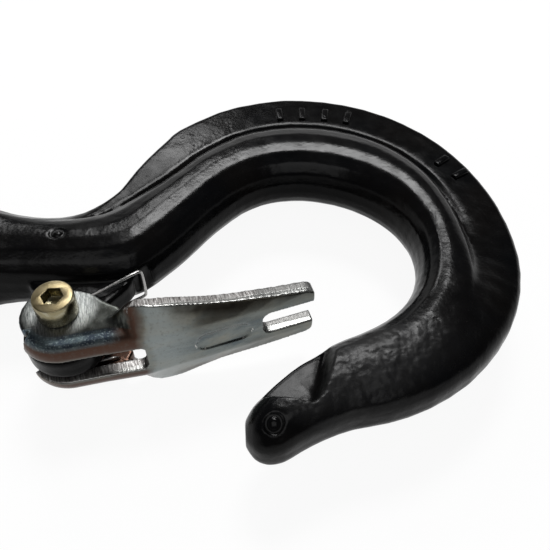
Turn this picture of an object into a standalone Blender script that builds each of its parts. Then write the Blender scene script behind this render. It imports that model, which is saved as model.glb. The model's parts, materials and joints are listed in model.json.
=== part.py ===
"""Safety chain hook: a forged clevis slip hook with a sprung sheet-metal latch.

The hook lies flat, +Z up, its shank along X and its bowl towards +X.  The origin of
every dimension below is the latch pivot; lengths are in millimetres and are turned
into metres where the meshes are made.
"""
import math

import bmesh
import bpy
from mathutils import Matrix, Vector

MM = 0.001

# ---- driving dimensions --------------------------------------------------------
GAP = 0.30                    # between pieces that touch in the real object

# forged hook
BOWL_X = 51.5                 # centre of the bowl
BOWL_Y = 22.0
BEAD_Z = 9.0                  # half height of the round inner bead
FLANGE_Z = 4.3                # half height of the flat outer flange
LUG_R = 8.9                   # pivot lug
LUG_Z = 2.85                  # half thickness of the lug
EAR_SWEEP_R = 10.6            # room for the latch ears beside the lug
DOT_R = 1.5                   # forging dots, a pair on the neck and one on the tip
DOT_SINK = 0.6                # how deep their centres lie
DOTS = ((-5.5, 22.7, BEAD_Z - 0.2), (44.6, -23.0, BEAD_Z - 2.7))

# clevis at the chain end
CLEVIS_Y = BOWL_Y             # the pull runs through the bowl centre
CLEVIS_GAP = 5.6              # half width of the mouth for the chain link
CLEVIS_HALF = 13.2            # half width over both ears
CLEVIS_R = 13.4               # radius of the ears round the pin
PIN_X = -38.0
PIN_R = 4.5                   # load pin, 9 mm
PIN_WASHER_T = 1.4
COTTER_DROP = 3.9             # from the ear's face to the split pin
CLEVIS_END = PIN_X - CLEVIS_R
THROAT_X = PIN_X + 9.5        # bottom of the mouth

# latch, pressed from sheet
SHEET = 2.8
WEB_SHEET = 3.2               # the web is a little thicker than the drawn ears
EAR_OUT = 8.9                 # outer face of the ears
EAR_IN = EAR_OUT - SHEET
WEB_OUT = -9.3                # outer face below the pivot, where the bends wrap round it
WEB_IN = WEB_OUT + SHEET
WEB_HUMP = 1.1                # how far the shoulder stands out past that
TINE_OUT = -8.2               # outer face of the tines
TINE_SEAT = -9.1              # where the pockets of the hook's tip lie
BEND_R = 4.0                  # outer radius of the bends
WEB_ANGLE = 17.3              # slope of the web as it stands in the photograph
WEB_START = 14.8
WEB_END = 53.2
SLOT_HALF = 3.8               # slot that lets the lug through
FORK_HALF = 3.5               # slot between the tines
TIP_HALF = 3.1                # half thickness of the nose between its pockets
FORK_START = 41.2
EAR_END = 11.85                # where ears and bends end towards the shoulder
WRAP_ANGLE = -152.0           # how far the bends wrap round below the pivot
CLOSED_TURN = -26.6           # from the photographed pose down to the tip
OPEN_TURN = 37.0              # and up until the web meets the shank

# pivot hardware, size M5
SCREW_R = 2.5
HEAD_R = 4.25
HEAD_H = 5.0
HEX_AF = 4.0
HEX_TURN = 3.0                # how the socket stands, in degrees
HOLE_R = SCREW_R + GAP
SLEEVE_R = 3.4
LUG_BORE_R = SLEEVE_R + GAP
WASHER_R = 5.0
WASHER_T = 0.8
NUT_AF = 8.0
NUT_H = 4.4

# torsion spring
WIRE_R = 0.40
COIL_R = 4.35
COIL_Z0 = LUG_Z + GAP + WIRE_R
COIL_Z1 = EAR_IN - GAP - WIRE_R
LOOP_END = (14.2, 15.4)       # where the loop rests on the shank
LOOP_Z = 4.6

COLLECTION = "safety_chain_hook"


# ---- helpers -------------------------------------------------------------------
def clear_scene():
    for obj in list(bpy.data.objects):
        bpy.data.objects.remove(obj, do_unlink=True)
    for col in list(bpy.data.collections):
        bpy.data.collections.remove(col)


def collection(name, hidden=False):
    col = bpy.data.collections.new(name)
    bpy.context.scene.collection.children.link(col)
    col.hide_render = hidden
    return col


def material(name, colour, metallic, roughness):
    mat = bpy.data.materials.new(name)
    mat.use_nodes = True
    node = mat.node_tree.nodes["Principled BSDF"]
    node.inputs["Base Color"].default_value = (*colour, 1.0)
    node.inputs["Metallic"].default_value = metallic
    node.inputs["Roughness"].default_value = roughness
    return mat


def from_bmesh(bm, name, col, mat=None):
    bmesh.ops.recalc_face_normals(bm, faces=bm.faces[:])
    mesh = bpy.data.meshes.new(name)
    bm.to_mesh(mesh)
    bm.free()
    obj = bpy.data.objects.new(name, mesh)
    col.objects.link(obj)
    if mat is not None:
        mesh.materials.append(mat)
    return obj


def smooth(obj, angle=40.0):
    mesh = obj.data
    mesh.shade_smooth()
    mesh.set_sharp_from_angle(angle=math.radians(angle))


def bake(obj):
    """Put what the modifiers make into the object's own mesh."""
    graph = bpy.context.evaluated_depsgraph_get()
    mesh = bpy.data.meshes.new_from_object(obj.evaluated_get(graph))
    obj.modifiers.clear()
    old = obj.data
    mesh.name = old.name
    obj.data = mesh
    bpy.data.meshes.remove(old)


def boolean(obj, other, operation):
    mod = obj.modifiers.new(operation.lower(), "BOOLEAN")
    mod.operation = operation
    mod.solver = "EXACT"
    mod.object = other
    bake(obj)


def empty(name, col, location=(0.0, 0.0, 0.0), turn_x=0.0, parent=None):
    obj = bpy.data.objects.new(name, None)
    obj.location = Vector(location) * MM
    obj.rotation_euler = (math.radians(turn_x), 0.0, 0.0)
    obj.empty_display_size = 0.01
    obj.parent = parent
    col.objects.link(obj)
    return obj


def clean(obj, distance=0.00002):
    """Weld what a cut or a join leaves, and turn every face outwards."""
    bm = bmesh.new()
    bm.from_mesh(obj.data)
    bmesh.ops.remove_doubles(bm, verts=bm.verts[:], dist=distance)
    bmesh.ops.dissolve_degenerate(bm, edges=bm.edges[:], dist=distance)
    bmesh.ops.recalc_face_normals(bm, faces=bm.faces[:])
    bm.to_mesh(obj.data)
    bm.free()


def prism(points, low, high, name, col, mat=None, plane="XY", bevel=0.0, segments=2):
    """An outline in millimetres, extruded; plane names the outline's two axes."""
    bm = bmesh.new()

    def place(a, b, c):
        if plane == "XY":
            return Vector((a, b, c)) * MM
        return Vector((a, c, b)) * MM

    base = [bm.verts.new(place(a, b, low)) for a, b in points]
    face = bm.faces.new(base)
    made = bmesh.ops.extrude_face_region(bm, geom=[face])
    moved = [item for item in made["geom"] if isinstance(item, bmesh.types.BMVert)]
    step = place(0.0, 0.0, high - low)
    bmesh.ops.translate(bm, verts=moved, vec=step)
    bmesh.ops.recalc_face_normals(bm, faces=bm.faces[:])
    if bevel > 0.0:
        sharp = [e for e in bm.edges if len(e.link_faces) == 2
                 and e.calc_face_angle(0.0) > math.radians(50)]
        bmesh.ops.bevel(bm, geom=sharp, offset=bevel * MM, segments=segments,
                        profile=0.5, affect="EDGES", clamp_overlap=True)
    return from_bmesh(bm, name, col, mat)


def arc(cx, cy, radius, start, end, count):
    points = []
    for i in range(count + 1):
        a = math.radians(start + (end - start) * i / count)
        points.append((cx + radius * math.cos(a), cy + radius * math.sin(a)))
    return points


def turned(profile, name, col, mat=None, steps=48):
    """Turn (radius, z) points in millimetres round Z: the profile runs down its outer
    side; one that leaves the axis free is closed into a ring."""
    mesh = bpy.data.meshes.new(name)
    verts = [(radius * MM, 0.0, z * MM) for radius, z in profile]
    edges = [(i, i + 1) for i in range(len(profile) - 1)]
    if profile[0][0] > 1e-6:
        edges.append((len(profile) - 1, 0))
    mesh.from_pydata(verts, edges, [])
    obj = bpy.data.objects.new(name, mesh)
    col.objects.link(obj)
    if mat is not None:
        mesh.materials.append(mat)
    mod = obj.modifiers.new("turn", "SCREW")
    mod.axis = "Z"
    mod.angle = 2.0 * math.pi
    mod.steps = steps
    mod.render_steps = steps
    mod.use_merge_vertices = True
    mod.merge_threshold = 0.00001
    bake(obj)
    clean(obj)
    return obj


def move(obj, matrix):
    obj.data.transform(matrix)
    obj.data.update()


def hexagon(across, turn=0.0):
    radius = across / math.sqrt(3.0)
    return [(radius * math.cos(math.radians(60 * i + turn)),
             radius * math.sin(math.radians(60 * i + turn))) for i in range(6)]


def cylinder(cx, cy, radius, low, high, name, col, steps=48):
    obj = prism(arc(cx, cy, radius, 0, 360 - 360 / steps, steps - 1), low, high, name, col)
    return obj


# ---- the forged body -----------------------------------------------------------
# Every station of the loft: inner point, outer point, crest, valley (distances from
# the inner point as shares of the depth), bead half height, valley half height,
# flange half height, half height of the outer belt, share of the flanged shape, and how
# boxy the plain shape is (2 is an oval).
def polar(angle, inner, outer):
    a = math.radians(angle)
    return ((BOWL_X + inner * math.cos(a), BOWL_Y + inner * math.sin(a)),
            (BOWL_X + outer * math.cos(a), BOWL_Y + outer * math.sin(a)))


def stations():
    rows = [
        ((-31.0, 9.4), (-31.0, 34.6), 0.50, 0.80, 10.6, 5.0, 5.0, 3.2, 0.0, 3.6),
        ((-27.5, 9.8), (-27.5, 34.2), 0.50, 0.80, 10.4, 5.0, 5.0, 3.2, 0.0, 3.4),
        ((-23.5, 10.8), (-23.5, 33.2), 0.50, 0.80, 9.8, 5.0, 5.0, 3.0, 0.0, 3.1),
        ((-19.0, 11.7), (-19.0, 32.3), 0.50, 0.80, 9.2, 5.0, 5.0, 2.6, 0.0, 2.7),
        ((-12.5, 12.0), (-13.5, 31.8), 0.50, 0.80, 8.8, 5.0, 5.0, 2.3, 0.0, 2.3),
        ((-4.5, 12.0), (-7.8, 32.4), 0.46, 0.84, 8.7, 4.6, 4.8, 2.2, 0.15, 2.1),
        ((3.0, 12.2), (-2.8, 34.4), 0.42, 0.83, 8.7, 3.9, 4.5, 2.3, 0.5, 2.0),
        ((9.5, 13.0), (1.3, 38.0), 0.38, 0.81, 8.8, 3.4, 4.4, 2.5, 0.9, 2.0),
        ((14.2, 14.9), (4.5, 42.9), 0.35, 0.78, BEAD_Z - 0.1, 3.0, FLANGE_Z, 2.6, 1.0, 2.0),
        ((19.0, 19.9), (6.7, 48.5), 0.345, 0.71, BEAD_Z, 2.8, FLANGE_Z, 2.6, 1.0, 2.0),
        ((23.5, 25.5), (9.0, 54.0), 0.34, 0.646, BEAD_Z, 2.7, FLANGE_Z, 2.6, 1.0, 2.0),
        ((28.0, 31.9), (11.7, 59.3), 0.325, 0.60, BEAD_Z, 2.6, FLANGE_Z, 2.6, 1.0, 2.0),
        ((32.2, 37.4), (14.4, 64.0), 0.315, 0.582, BEAD_Z, 2.6, FLANGE_Z, 2.6, 1.0, 2.0),
    ]
    ring = [
        # angle, inner, outer, crest, valley radius, bead z, valley z, flange z, belt, share
        (127, 25.0, 57.4, 34.8, 43.6, BEAD_Z, 2.6, FLANGE_Z, 2.6, 1.0),
        (114, 25.2, 59.5, 35.1, 45.4, BEAD_Z, 2.6, FLANGE_Z, 2.6, 1.0),
        (102, 25.2, 60.7, 35.1, 46.1, BEAD_Z, 2.6, FLANGE_Z, 2.6, 1.0),
        (90, 25.1, 60.9, 34.9, 46.2, BEAD_Z, 2.6, FLANGE_Z, 2.6, 1.0),
        (78, 24.9, 60.2, 34.7, 45.9, BEAD_Z, 2.6, FLANGE_Z, 2.6, 1.0),
        (66, 24.9, 58.9, 34.7, 45.1, BEAD_Z, 2.6, FLANGE_Z, 2.6, 1.0),
        (54, 25.1, 57.1, 34.7, 44.0, BEAD_Z, 2.7, FLANGE_Z, 2.6, 1.0),
        (42, 25.6, 55.0, 34.2, 42.4, BEAD_Z, 2.8, FLANGE_Z, 2.5, 1.0),
        (30, 26.1, 53.1, 33.6, 40.6, BEAD_Z - 0.1, 3.0, FLANGE_Z, 2.4, 1.0),
        (18, 26.4, 51.5, 33.0, 39.2, BEAD_Z - 0.2, 3.3, FLANGE_Z, 2.2, 1.0),
        (6, 26.3, 50.5, 32.6, 38.6, BEAD_Z - 0.3, 3.8, FLANGE_Z, 2.0, 0.9),
        (-6, 26.1, 49.9, 32.4, 38.4, BEAD_Z - 0.4, 4.4, FLANGE_Z + 0.2, 1.8, 0.6),
        (-18, 25.9, 48.9, 32.3, 38.6, BEAD_Z - 0.4, 5.0, FLANGE_Z + 0.5, 1.6, 0.25),
        (-30, 25.6, 47.7, 32.3, 38.6, BEAD_Z - 0.5, 5.5, FLANGE_Z + 0.7, 1.5, 0.0),
        (-43, 25.1, 46.2, 32.0, 38.0, BEAD_Z - 0.6, 5.5, FLANGE_Z + 0.7, 1.5, 0.0),
        (-56, 24.7, 44.8, 31.5, 37.4, BEAD_Z - 0.8, 5.5, FLANGE_Z + 0.7, 1.5, 0.0),
        (-68, 24.6, 43.6, 31.2, 37.0, BEAD_Z - 1.0, 5.5, FLANGE_Z + 0.7, 1.5, 0.0),
        (-78, 25.2, 43.0, 31.6, 37.0, BEAD_Z - 1.2, 5.5, FLANGE_Z + 0.7, 1.5, 0.0),
    ]
    for angle, inner, outer, crest, valley, zb, zv, zf, belt, share in ring:
        near, far = polar(angle, inner, outer)
        depth = outer - inner
        rows.append((near, far, (crest - inner) / depth, (valley - inner) / depth,
                     zb, zv, zf, belt, share, 2.0))
    rows += [
        ((53.0, -5.4), (54.9, -22.2), 0.42, 0.72, 7.7, 5.5, 5.0, 1.6, 0.0, 2.0),
        ((49.6, -7.6), (50.2, -24.8), 0.44, 0.72, 7.6, 5.5, 5.0, 1.6, 0.0, 2.0),
        ((46.0, -10.8), (46.7, -27.0), 0.47, 0.72, 7.3, 5.3, 4.8, 1.6, 0.0, 2.0),
        ((42.8, -14.2), (43.4, -27.6), 0.50, 0.74, 6.7, 4.8, 4.4, 1.5, 0.0, 2.0),
        ((40.3, -17.3), (40.9, -26.6), 0.50, 0.74, 5.2, 3.6, 3.4, 1.3, 0.0, 2.0),
        ((38.9, -20.0), (39.2, -24.4), 0.50, 0.74, 2.6, 1.6, 1.6, 0.8, 0.0, 2.0),
    ]
    return rows


def smooth_rows(rows, steps):
    """Catmull-Rom through the stations, so the forging has no facets between them."""
    flat = [(*r[0], *r[1], *r[2:]) for r in rows]
    out = []
    for i in range(len(flat) - 1):
        p0 = flat[max(i - 1, 0)]
        p1 = flat[i]
        p2 = flat[i + 1]
        p3 = flat[min(i + 2, len(flat) - 1)]
        for k in range(steps):
            t = k / steps
            out.append(tuple(
                0.5 * (2 * b + (c - a) * t + (2 * a - 5 * b + 4 * c - d) * t * t
                       + (3 * b - a - 3 * c + d) * t ** 3)
                for a, b, c, d in zip(p0, p1, p2, p3)))
    out.append(flat[-1])
    return out


def half_section(depth, crest, valley, zb, zv, zf, belt, share, power):
    """Upper half of a section: (distance from the inner point, z)."""
    c = crest * depth
    v = valley * depth
    edge = min(1.3, 0.2 * (depth - v))
    foot = v + 0.16 * (depth - v)
    points = []
    for a in (15, 32, 50, 70, 90):
        r = math.radians(a)
        points.append((c - c * math.cos(r) ** (2 / power) if a < 90 else c,
                       zb * math.sin(r) ** (2 / power)))
    flanged = []
    for t in (0.3, 0.6, 0.82, 1.0):
        x = c + (v - c) * t
        flanged.append((x, zv + (zb - zv) * math.sqrt(max(0.0, 1 - t ** 2.2))))
    flanged[-1] = (v, zv)
    flanged += [(foot, zf), (depth - edge, zf), (depth - 0.25 * edge, zf - 0.5 * edge),
                (depth, belt)]
    for x, z in flanged:
        u = (x - c) / (depth - c)
        oval = belt + (zb - belt) * max(0.0, 1 - u ** power) ** (1 / power)
        points.append((x, share * z + (1 - share) * oval))
    return points


def hook_loft(col, mat):
    bm = bmesh.new()
    rings = []
    for row in smooth_rows(stations(), 2):
        inner = Vector((row[0], row[1], 0.0))
        outer = Vector((row[2], row[3], 0.0))
        depth = (outer - inner).length
        along = (outer - inner) / depth
        share = min(1.0, max(0.0, row[10]))
        upper = half_section(depth, *row[4:10], share, max(2.0, row[11]))
        loop = [(0.0, 0.0)] + upper + [(x, -z) for x, z in reversed(upper)]
        ring = []
        for x, z in loop:
            p = inner + along * x
            ring.append(bm.verts.new((p.x * MM, p.y * MM, z * MM)))
        rings.append(ring)
    for a, b in zip(rings, rings[1:]):
        n = len(a)
        for i in range(n):
            j = (i + 1) % n
            bm.faces.new((a[i], a[j], b[j], b[i]))
    bm.faces.new(rings[0])
    bm.faces.new(rings[-1])
    return from_bmesh(bm, "hook_body", col, mat)


def clevis_block(cut):
    """The fork: its plan outline and its side outline, both extruded, in common."""
    y0 = CLEVIS_Y - CLEVIS_HALF
    y1 = CLEVIS_Y + CLEVIS_HALF
    mouth = arc(THROAT_X - CLEVIS_GAP, CLEVIS_Y, CLEVIS_GAP, -90, 90, 12)
    plan = [(CLEVIS_END - 2, CLEVIS_Y - CLEVIS_GAP)] + mouth
    plan += [(CLEVIS_END - 2, CLEVIS_Y + CLEVIS_GAP), (CLEVIS_END - 2, y1)]
    plan += [(PIN_X + 6.0, y1), (PIN_X + 9.0, y1 - 0.3), (PIN_X + 12.0, y1 - 1.3)]
    plan += [(PIN_X + 15.0, y1 - 3.2), (PIN_X + 15.0, y0 + 3.2), (PIN_X + 12.0, y0 + 1.3)]
    plan += [(PIN_X + 9.0, y0 + 0.3), (PIN_X + 6.0, y0), (CLEVIS_END - 2, y0)]
    block = prism(plan, -16.0, 16.0, "clevis_plan", cut)
    side = arc(PIN_X, 0.0, CLEVIS_R, 52, 308, 28)
    side += [(PIN_X + 12.0, -8.9), (PIN_X + 15.5, -7.4), (PIN_X + 15.5, 7.4)]
    side += [(PIN_X + 12.0, 8.9)]
    other = prism(side, y0 - 3.0, y1 + 3.0, "clevis_side", cut, plane="XZ")
    boolean(block, other, "INTERSECT")
    clean(block)
    bm = bmesh.new()
    bm.from_mesh(block.data)
    sharp = [e for e in bm.edges if len(e.link_faces) == 2
             and e.calc_face_angle(0.0) > math.radians(55)
             and max(v.co.x for v in e.verts) < (PIN_X + 14.5) * MM]
    bmesh.ops.bevel(bm, geom=sharp, offset=1.6 * MM, segments=3, profile=0.5,
                    affect="EDGES", clamp_overlap=True)
    bm.to_mesh(block.data)
    bm.free()
    return block


def make_hook(col, cut, mat):
    body = hook_loft(col, mat)
    lug = prism(
        arc(0.0, 0.0, LUG_R, 130, 400, 30) + [(11.6, 12.0), (12.8, 15.0), (4.0, 20.0),
                                              (-12.0, 20.0), (-13.0, 14.0)],
        -LUG_Z, LUG_Z, "lug", cut, bevel=0.5, segments=1)
    boolean(body, lug, "UNION")
    clean(body)
    boolean(body, clevis_block(cut), "UNION")
    clean(body)
    # room for the latch ears on both sides of the lug
    for side in (1, -1):
        low, high = sorted((side * LUG_Z, side * 16.0))
        ears = cylinder(0.0, 0.0, EAR_SWEEP_R, low, high, "ear_room", cut)
        boolean(body, ears, "DIFFERENCE")
    boolean(body, cylinder(0, 0, LUG_BORE_R, -8, 8, "lug_bore", cut, 32), "DIFFERENCE")
    # pin hole through both ears of the clevis
    hole = cylinder(0, 0, PIN_R + GAP, -24, 24, "pin_hole", cut)
    move(hole, Matrix.Translation((PIN_X * MM, CLEVIS_Y * MM, 0))
         @ Matrix.Rotation(math.radians(90), 4, "X"))
    boolean(body, hole, "DIFFERENCE")
    # pockets either side of the tip, where the latch fork comes to rest
    turn = math.radians(WEB_ANGLE + CLOSED_TURN)
    ux, uy = math.cos(turn), math.sin(turn)

    def on_latch(s, t):
        return (s * ux - t * uy, s * uy + t * ux)

    end = WEB_END + 0.6
    floor = TINE_SEAT - GAP
    foot = [on_latch(FORK_START - 8.0, floor), on_latch(end - 1.0, floor),
            on_latch(end, floor + 1.4), on_latch(end + 1.8, 12.0),
            on_latch(FORK_START - 8.0, 14.0)]
    brow = [on_latch(FORK_START - 8.0, floor - 0.6), on_latch(end + 2.0, floor - 0.6),
            on_latch(end + 3.4, floor + 1.2), on_latch(end + 5.4, 13.0),
            on_latch(FORK_START - 8.0, 14.0)]
    for side in (1, -1):
        bm = bmesh.new()
        low_ring = [bm.verts.new(Vector((x, y, side * TIP_HALF)) * MM) for x, y in foot]
        top_ring = [bm.verts.new(Vector((x, y, side * 9.0)) * MM) for x, y in brow]
        for i in range(5):
            j = (i + 1) % 5
            bm.faces.new((low_ring[i], low_ring[j], top_ring[j], top_ring[i]))
        bm.faces.new(low_ring)
        bm.faces.new(top_ring)
        boolean(body, from_bmesh(bm, "tip_pocket", cut), "DIFFERENCE")
    # flat seat for the closed end of the spring loop
    seat = prism([(-2.4, -0.75), (2.4, -0.75), (2.4, 6.0), (-2.4, 6.0)], -6.2, 6.2,
                 "spring_seat", cut)
    move(seat, Matrix.Translation((LOOP_END[0] * MM, LOOP_END[1] * MM, 0))
         @ Matrix.Rotation(math.radians(226.0), 4, "Z"))
    boolean(body, seat, "DIFFERENCE")
    clean(body)
    # forging dots, neck and tip
    for x, y, z in DOTS:
        for side in (1, -1):
            dot = bmesh.new()
            bmesh.ops.create_uvsphere(dot, u_segments=16, v_segments=8, radius=DOT_R * MM)
            bmesh.ops.translate(dot, verts=dot.verts[:],
                                vec=Vector((x, y, side * (z - DOT_SINK))) * MM)
            boolean(body, from_bmesh(dot, "dot", cut), "UNION")
    clean(body)
    smooth(body, 38.0)
    return body


def sheet_section(low, bend, reach, thick=SHEET):
    """Half section of the pressed sheet: flat to the bend, round it, then straight on.

    low is the outer face's distance below the pivot, bend the angle that the side is
    turned up by, reach the developed half width.  Points are (distance below the
    pivot, z), the outer face from the middle outwards and then the inner one back.
    """
    start = EAR_OUT - BEND_R
    steps = 7
    turned_by = math.radians(max(bend, 0.5))
    straight = reach - start - BEND_R * turned_by
    outer = [(low, 0.0), (low, start)]
    inner = [(low - thick, 0.0), (low - thick, start)]
    for k in range(1, steps + 1):
        a = turned_by * k / steps
        for line, radius in ((outer, BEND_R), (inner, BEND_R - thick)):
            line.append((low - BEND_R + radius * math.cos(a), start + radius * math.sin(a)))
    a = turned_by
    for line in (outer, inner):
        r, z = line[-1]
        line.append((r - straight * math.sin(a), z + straight * math.cos(a)))
    return outer, inner


def make_sheet(name, col, mat):
    """Ear bends, shoulder and web in one sheet, the sides unrolling towards the web."""
    low = -WEB_OUT
    hump = low + WEB_HUMP
    tine = -TINE_OUT
    full = WEB_SHEET
    flat = EAR_OUT - BEND_R + BEND_R * math.pi / 2
    wrap = (low, 90.0, flat + 0.6, SHEET)
    places = []
    for k in range(10):
        places.append(("turn", WRAP_ANGLE + (-90.0 - WRAP_ANGLE) * k / 9, wrap))
    fall = (hump - tine) / (WEB_END - WEB_START)
    for s, bend, reach in ((6.0, 90, flat + 0.6), (8.6, 90, flat + 0.9),
                           (9.6, 86, flat + 1.5), (10.5, 77, 12.9), (11.4, 65, 13.2),
                           (12.3, 52, 13.5), (13.2, 41, 13.8), (14.2, 32.5, 14.2),
                           (15.6, 25.5, 14.45), (17.2, 20.5, 14.2), (19.0, 17.5, 13.8),
                           (22.3, 15.5, 13.15), (26.8, 16.7, 11.8), (31.2, 18.3, 10.65),
                           (35.7, 15.7, 9.8), (40.1, 12, 9.15), (44.6, 8, 8.4),
                           (WEB_END - 1.8, 3.5, 7.5), (WEB_END - 0.7, 3.2, 7.05),
                           (WEB_END - 0.15, 3.2, 6.4), (WEB_END, 3.2, 5.9)):
        rise = min(1.0, max(0.0, (s - 2.0) / (WEB_START - 2.0)))
        out = low + (hump - low) * rise - fall * max(0.0, s - WEB_START)
        thick = SHEET + (full - SHEET) * rise
        places.append(("run", s, (out, bend, reach, thick)))
    bm = bmesh.new()
    rings = []
    for kind, where, row in places:
        outer, inner = sheet_section(*row)
        loop = [(r, -z) for r, z in reversed(outer[1:])] + outer
        loop += list(reversed(inner)) + [(r, -z) for r, z in inner[1:]]
        ring = []
        for r, z in loop:
            if kind == "turn":
                a = math.radians(where)
                p = Vector((r * math.cos(a), r * math.sin(a), z))
            else:
                p = Vector((where, -r, z))
            ring.append(bm.verts.new(p * MM))
        rings.append(ring)
    n = len(rings[0])
    for a, b in zip(rings, rings[1:]):
        for i in range(n):
            j = (i + 1) % n
            bm.faces.new((a[i], a[j], b[j], b[i]))
    for ring in (rings[0], rings[-1]):
        half = n // 2
        for i in range(half - 1):
            bm.faces.new((ring[i], ring[i + 1], ring[n - 2 - i], ring[n - 1 - i]))
    return from_bmesh(bm, name, col, mat)


def rounded_slot(start, end, half, corner):
    """Plan of a slot with a closed, softly cornered end at start, open at end."""
    points = [(end, -half)]
    sign = 1 if end > start else -1
    for cy, a0, a1 in ((-half + corner, -90, -180), (half - corner, 180, 90)):
        for k in range(5):
            a = math.radians(a0 + (a1 - a0) * k / 4)
            points.append((start + sign * (corner + corner * math.cos(a)),
                           cy + corner * math.sin(a)))
    points.append((end, half))
    return points


def make_latch(col, cut, mat):
    """Latch in its own frame: web along +X, pivot at the origin; turned at the end."""
    web = make_sheet("latch", col, mat)
    near = -WEB_OUT - BEND_R
    for side in (1, -1):
        ear = [(3.8, 5.0), (2.3, 5.8), (0.4, 6.4), (-1.8, 6.6), (-4.0, 6.2), (-6.0, 5.0),
               (-7.3, 3.1)]
        ear += arc(0.0, 0.0, 8.0, 172, 200, 3)
        ear += arc(0.0, 0.0, near + 0.1, WRAP_ANGLE % 360 + 1.0, 270, 8)
        ear += [(EAR_END - 0.6, -near), (EAR_END + 0.3, -near + 1.3), (12.7, -3.3),
                (12.0, -1.8), (10.5, -0.65), (9.2, 0.6), (8.1, 2.0), (6.8, 3.4),
                (4.9, 4.5)]
        low, high = sorted((side * EAR_IN, side * EAR_OUT))
        plate = prism(ear, low, high, "ear", cut, bevel=0.3, segments=1)
        boolean(web, plate, "UNION")
        clean(web)
    lug_slot = prism(rounded_slot(WEB_START + 0.6, -14.0, SLOT_HALF, 1.3), WEB_OUT - 4.0,
                     2.0, "lug_slot", cut, plane="XZ")
    boolean(web, lug_slot, "DIFFERENCE")
    fork = prism(rounded_slot(FORK_START, WEB_END + 4.0, FORK_HALF, 2.0), WEB_OUT - 4.0,
                 WEB_IN + 4.0, "fork_slot", cut, plane="XZ")
    boolean(web, fork, "DIFFERENCE")
    boolean(web, cylinder(0, 0, HOLE_R, -16, 16, "latch_bore", cut, 32), "DIFFERENCE")
    clean(web)
    smooth(web, 30.0)
    web.rotation_euler = (0.0, 0.0, math.radians(WEB_ANGLE))
    return web


def make_screw(col, cut, mat, end_z):
    under = EAR_OUT + GAP
    top = under + HEAD_H
    profile = [(0.0, top), (HEAD_R - 0.45, top), (HEAD_R - 0.12, top - 0.14),
               (HEAD_R, top - 0.5), (HEAD_R, under), (SCREW_R, under),
               (SCREW_R, end_z + 0.5), (SCREW_R - 0.5, end_z), (0.0, end_z)]
    screw = turned(profile, "latch_screw", col, mat)
    socket = prism(hexagon(HEX_AF, HEX_TURN), top - 2.6, top + 1.0, "hex_socket", cut)
    boolean(screw, socket, "DIFFERENCE")
    clean(screw)
    smooth(screw, 30.0)
    return screw


def make_sleeve(col, mat):
    z = EAR_IN - GAP
    profile = [(SLEEVE_R, z), (SLEEVE_R, -z), (HOLE_R, -z), (HOLE_R, z)]
    sleeve = turned(profile, "pivot_sleeve", col, mat, 40)
    smooth(sleeve)
    return sleeve


def make_washer(col, mat, name, inner, outer, thick):
    profile = [(outer, thick / 2 - 0.1), (outer, -thick / 2 + 0.1),
               (outer - 0.15, -thick / 2), (inner, -thick / 2), (inner, thick / 2),
               (outer - 0.15, thick / 2)]
    washer = turned(profile, name, col, mat, 40)
    smooth(washer)
    return washer


def make_nut(col, cut, mat, top_z):
    """Lock nut, its collar at the lower end; the ring in the collar is its own piece."""
    low = top_z - NUT_H
    nut = prism(hexagon(NUT_AF, 30.0), low + 1.3, top_z, "latch_nut", col, mat,
                bevel=0.25, segments=1)
    collar = turned([(3.7, low + 1.6), (3.7, low + 0.4), (3.4, low), (0.0, low),
                     (0.0, low + 1.6)], "nut_collar", cut, None, 40)
    boolean(nut, collar, "UNION")
    boolean(nut, cylinder(0, 0, HOLE_R, low - 1, top_z + 1, "nut_bore", cut, 32),
            "DIFFERENCE")
    boolean(nut, cylinder(0, 0, 3.35, low - 1, low + 1.15, "ring_seat", cut, 32),
            "DIFFERENCE")
    clean(nut)
    smooth(nut, 30.0)
    return nut, low


def make_nut_ring(col, mat, low):
    profile = [(3.35 - 0.1, low + 1.05), (3.35 - 0.1, low + 0.1), (SCREW_R + 0.15, low + 0.1),
               (SCREW_R + 0.15, low + 1.05)]
    ring = turned(profile, "nut_ring", col, mat, 32)
    smooth(ring)
    return ring


def tube(points, radius, name, col, mat):
    """One unbroken wire through points in millimetres."""
    curve = bpy.data.curves.new(name, "CURVE")
    curve.dimensions = "3D"
    curve.bevel_depth = radius * MM
    curve.bevel_resolution = 2
    curve.use_fill_caps = True
    spline = curve.splines.new("POLY")
    spline.points.add(len(points) - 1)
    for item, p in zip(spline.points, points):
        item.co = (p[0] * MM, p[1] * MM, p[2] * MM, 1.0)
    holder = bpy.data.objects.new(name + "_path", curve)
    col.objects.link(holder)
    graph = bpy.context.evaluated_depsgraph_get()
    mesh = bpy.data.meshes.new_from_object(holder.evaluated_get(graph))
    bpy.data.objects.remove(holder, do_unlink=True)
    bpy.data.curves.remove(curve)
    bm = bmesh.new()
    bm.from_mesh(mesh)
    bmesh.ops.remove_doubles(bm, verts=bm.verts[:], dist=0.000002)
    bpy.data.meshes.remove(mesh)
    obj = from_bmesh(bm, name, col, mat)
    obj.data.shade_smooth()
    return obj


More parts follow.
